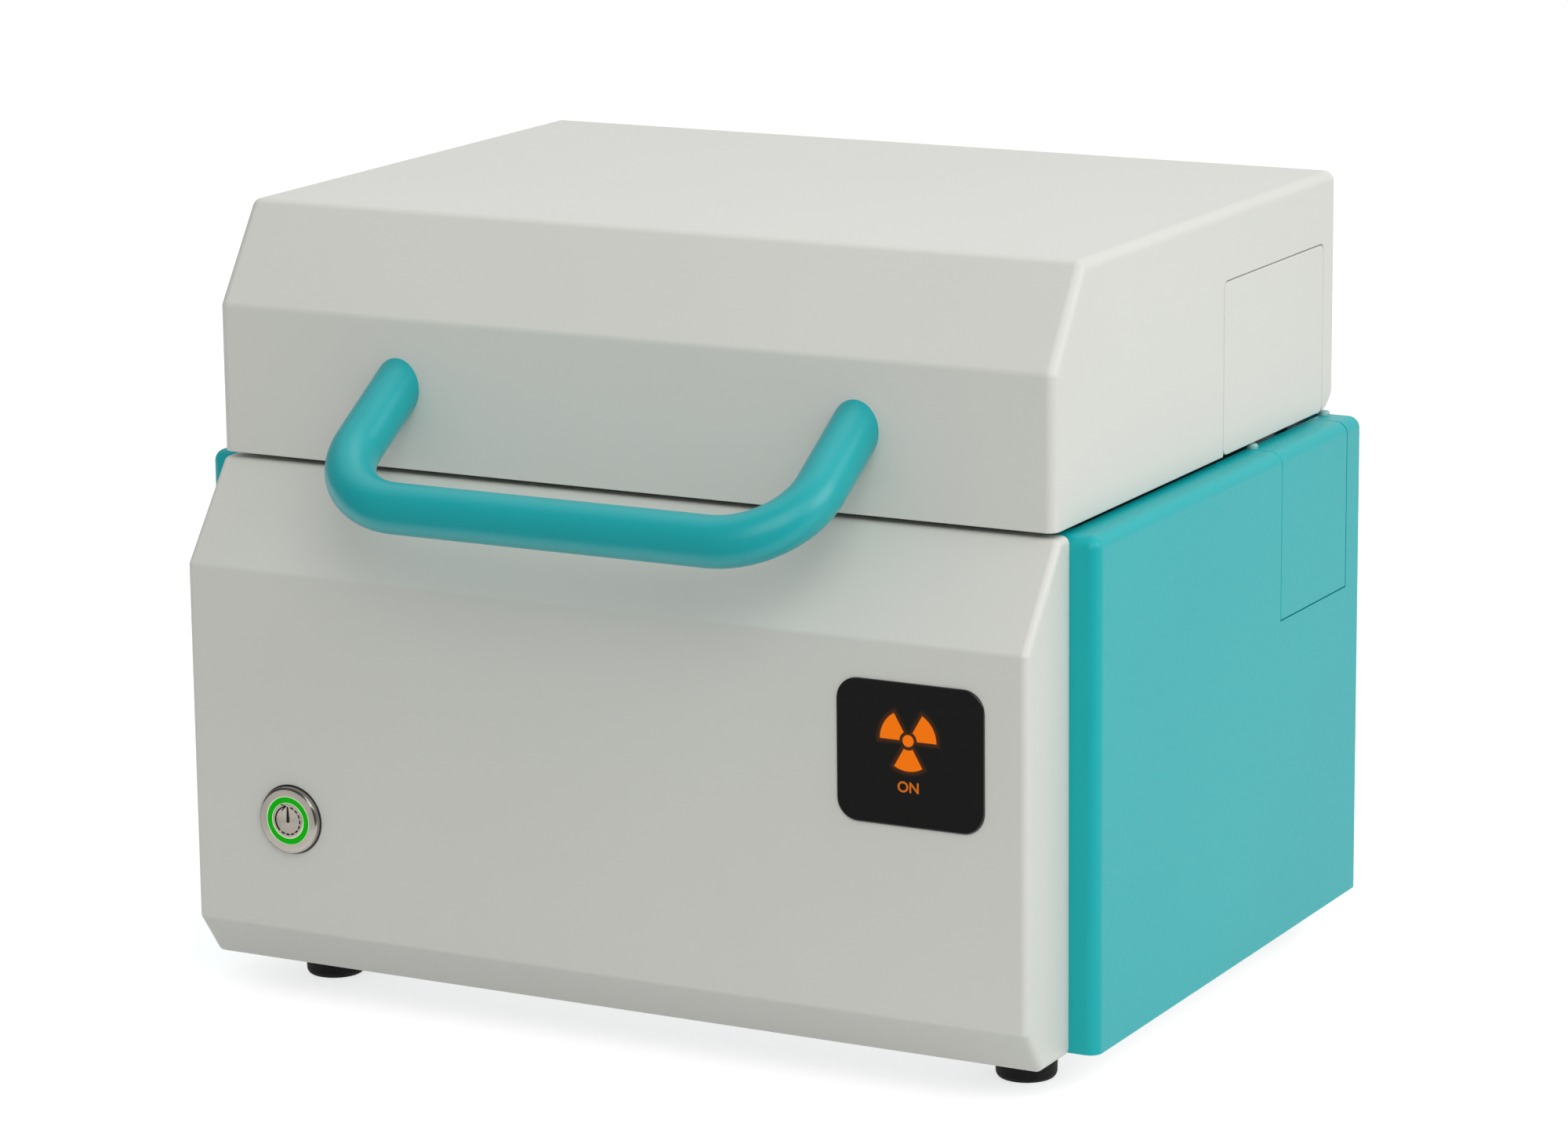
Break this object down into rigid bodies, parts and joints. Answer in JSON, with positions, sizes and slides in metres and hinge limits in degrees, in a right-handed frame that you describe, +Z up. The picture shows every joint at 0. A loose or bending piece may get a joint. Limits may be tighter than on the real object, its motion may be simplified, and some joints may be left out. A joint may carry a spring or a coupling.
{
  "type": "portable x-ray fluorescence spectrometer",
  "caption": "Bench-top x-ray spectrometer: teal housing with a folded white front, hinged white lid with a bent-tube handle, sample deck under the lid, push button, lamp and rubber feet.",
  "frame": {"origin": "on the floor, midway between the sides and midway between the handle's front and the rear face", "axes": "+X to the right seen from the front, +Y to the rear, +Z up"},
  "size_m": [0.314, 0.27, 0.256],
  "materials": {
    "front_fascia": "satin powder coat",
    "lid_shell": "satin powder coat",
    "lid_side_cover_left": "satin powder coat",
    "lid_side_cover_right": "satin powder coat",
    "rear_housing": "satin powder coat",
    "hinge_cover_left": "satin powder coat",
    "hinge_cover_right": "satin powder coat",
    "carry_handle": "satin powder coat",
    "base_plate": "brushed",
    "deck_plate": "turned and polished",
    "chamber_liner": "brushed",
    "hinge_bracket_left": "brushed",
    "hinge_bracket_right": "brushed",
    "hinge_arm_left": "brushed",
    "hinge_arm_right": "brushed",
    "hinge_pins": "turned and polished",
    "lid_gasket": "matt",
    "interlock_magnets": "brushed",
    "interlock_sensors": "matt",
    "lid_bumpers": "translucent",
    "rubber_feet": "matt",
    "button_bezel": "turned and polished",
    "button_cap": "turned and polished",
    "button_light_ring": "lit, translucent",
    "lamp_window": "gloss",
    "lamp_housing": "matt",
    "lamp_board": "solder mask",
    "sample_seat": "machined",
    "window_film": "thin film",
    "measuring_head": "machined",
    "tube_mount": "machined",
    "xray_tube": "machined",
    "filter_motor": "matt",
    "filter_wheel": "machined",
    "detector": "turned and polished",
    "tube_generator": "machined",
    "power_supply": "machined",
    "main_board": "solder mask",
    "board_posts": "turned and polished",
    "connector_panel": "machined",
    "mains_inlet": "matt",
    "usb_port": "turned and polished",
    "network_port": "turned and polished",
    "switch_frame": "matt",
    "switch_rocker": "gloss",
    "fan_frame": "matt",
    "fan_rotor": "matt"
  },
  "bodies": {
    "base": {"front_fascia": "front_fascia", "rear_housing": "rear_housing", "hinge_cover_left": "hinge_cover_left", "hinge_cover_right": "hinge_cover_right", "base_plate": "base_plate", "deck_plate": "deck_plate", "hinge_bracket_left": "hinge_bracket_left", "hinge_bracket_right": "hinge_bracket_right", "hinge_pins": "hinge_pins", "interlock_sensors": "interlock_sensors", "lid_bumpers": "lid_bumpers", "rubber_feet": "rubber_feet", "button_bezel": "button_bezel", "button_light_ring": "button_light_ring", "lamp_window": "lamp_window", "lamp_housing": "lamp_housing", "lamp_board": "lamp_board", "sample_seat": "sample_seat", "window_film": "window_film", "measuring_head": "measuring_head", "tube_mount": "tube_mount", "xray_tube": "xray_tube", "filter_motor": "filter_motor", "detector": "detector", "tube_generator": "tube_generator", "power_supply": "power_supply", "main_board": "main_board", "board_posts": "board_posts", "connector_panel": "connector_panel", "mains_inlet": "mains_inlet", "usb_port": "usb_port", "network_port": "network_port", "switch_frame": "switch_frame", "fan_frame": "fan_frame"},
    "lid": {"lid_shell": "lid_shell", "lid_side_cover_left": "lid_side_cover_left", "lid_side_cover_right": "lid_side_cover_right", "chamber_liner": "chamber_liner", "lid_gasket": "lid_gasket", "interlock_magnets": "interlock_magnets", "hinge_arm_left": "hinge_arm_left", "hinge_arm_right": "hinge_arm_right", "carry_handle": "carry_handle"},
    "button": {"button_cap": "button_cap"},
    "rocker": {"switch_rocker": "switch_rocker"},
    "filter_wheel": {"filter_wheel": "filter_wheel"},
    "fan_rotor": {"fan_rotor": "fan_rotor"}
  },
  "joints": [
    {"name": "lid_hinge", "type": "hinge", "parent": "base", "child": "lid", "pos_m": [0, 0.12151, 0.1908], "axis": [-1, 0, 0], "range_deg": [0, 90]},
    {"name": "button_press", "type": "slide", "parent": "base", "child": "button", "axis": [0, 1, 0], "range_m": [0, 0.001], "stiffness_N_per_m": 1000, "springref_m": -0.002},
    {"name": "switch_rock", "type": "hinge", "parent": "base", "child": "rocker", "pos_m": [-0.073, 0.12826, 0.048], "axis": [1, 0, 0], "range_deg": [-16, 0]},
    {"name": "filter_wheel_spin", "type": "hinge", "parent": "base", "child": "filter_wheel", "pos_m": [-0.04349, 0.01301, 0.12561], "axis": [-0.7071, 0, -0.7071], "continuous": true},
    {"name": "fan_spin", "type": "hinge", "parent": "base", "child": "fan_rotor", "pos_m": [0.075, 0.12451, 0.087], "axis": [0, 1, 0], "continuous": true}
  ]
}
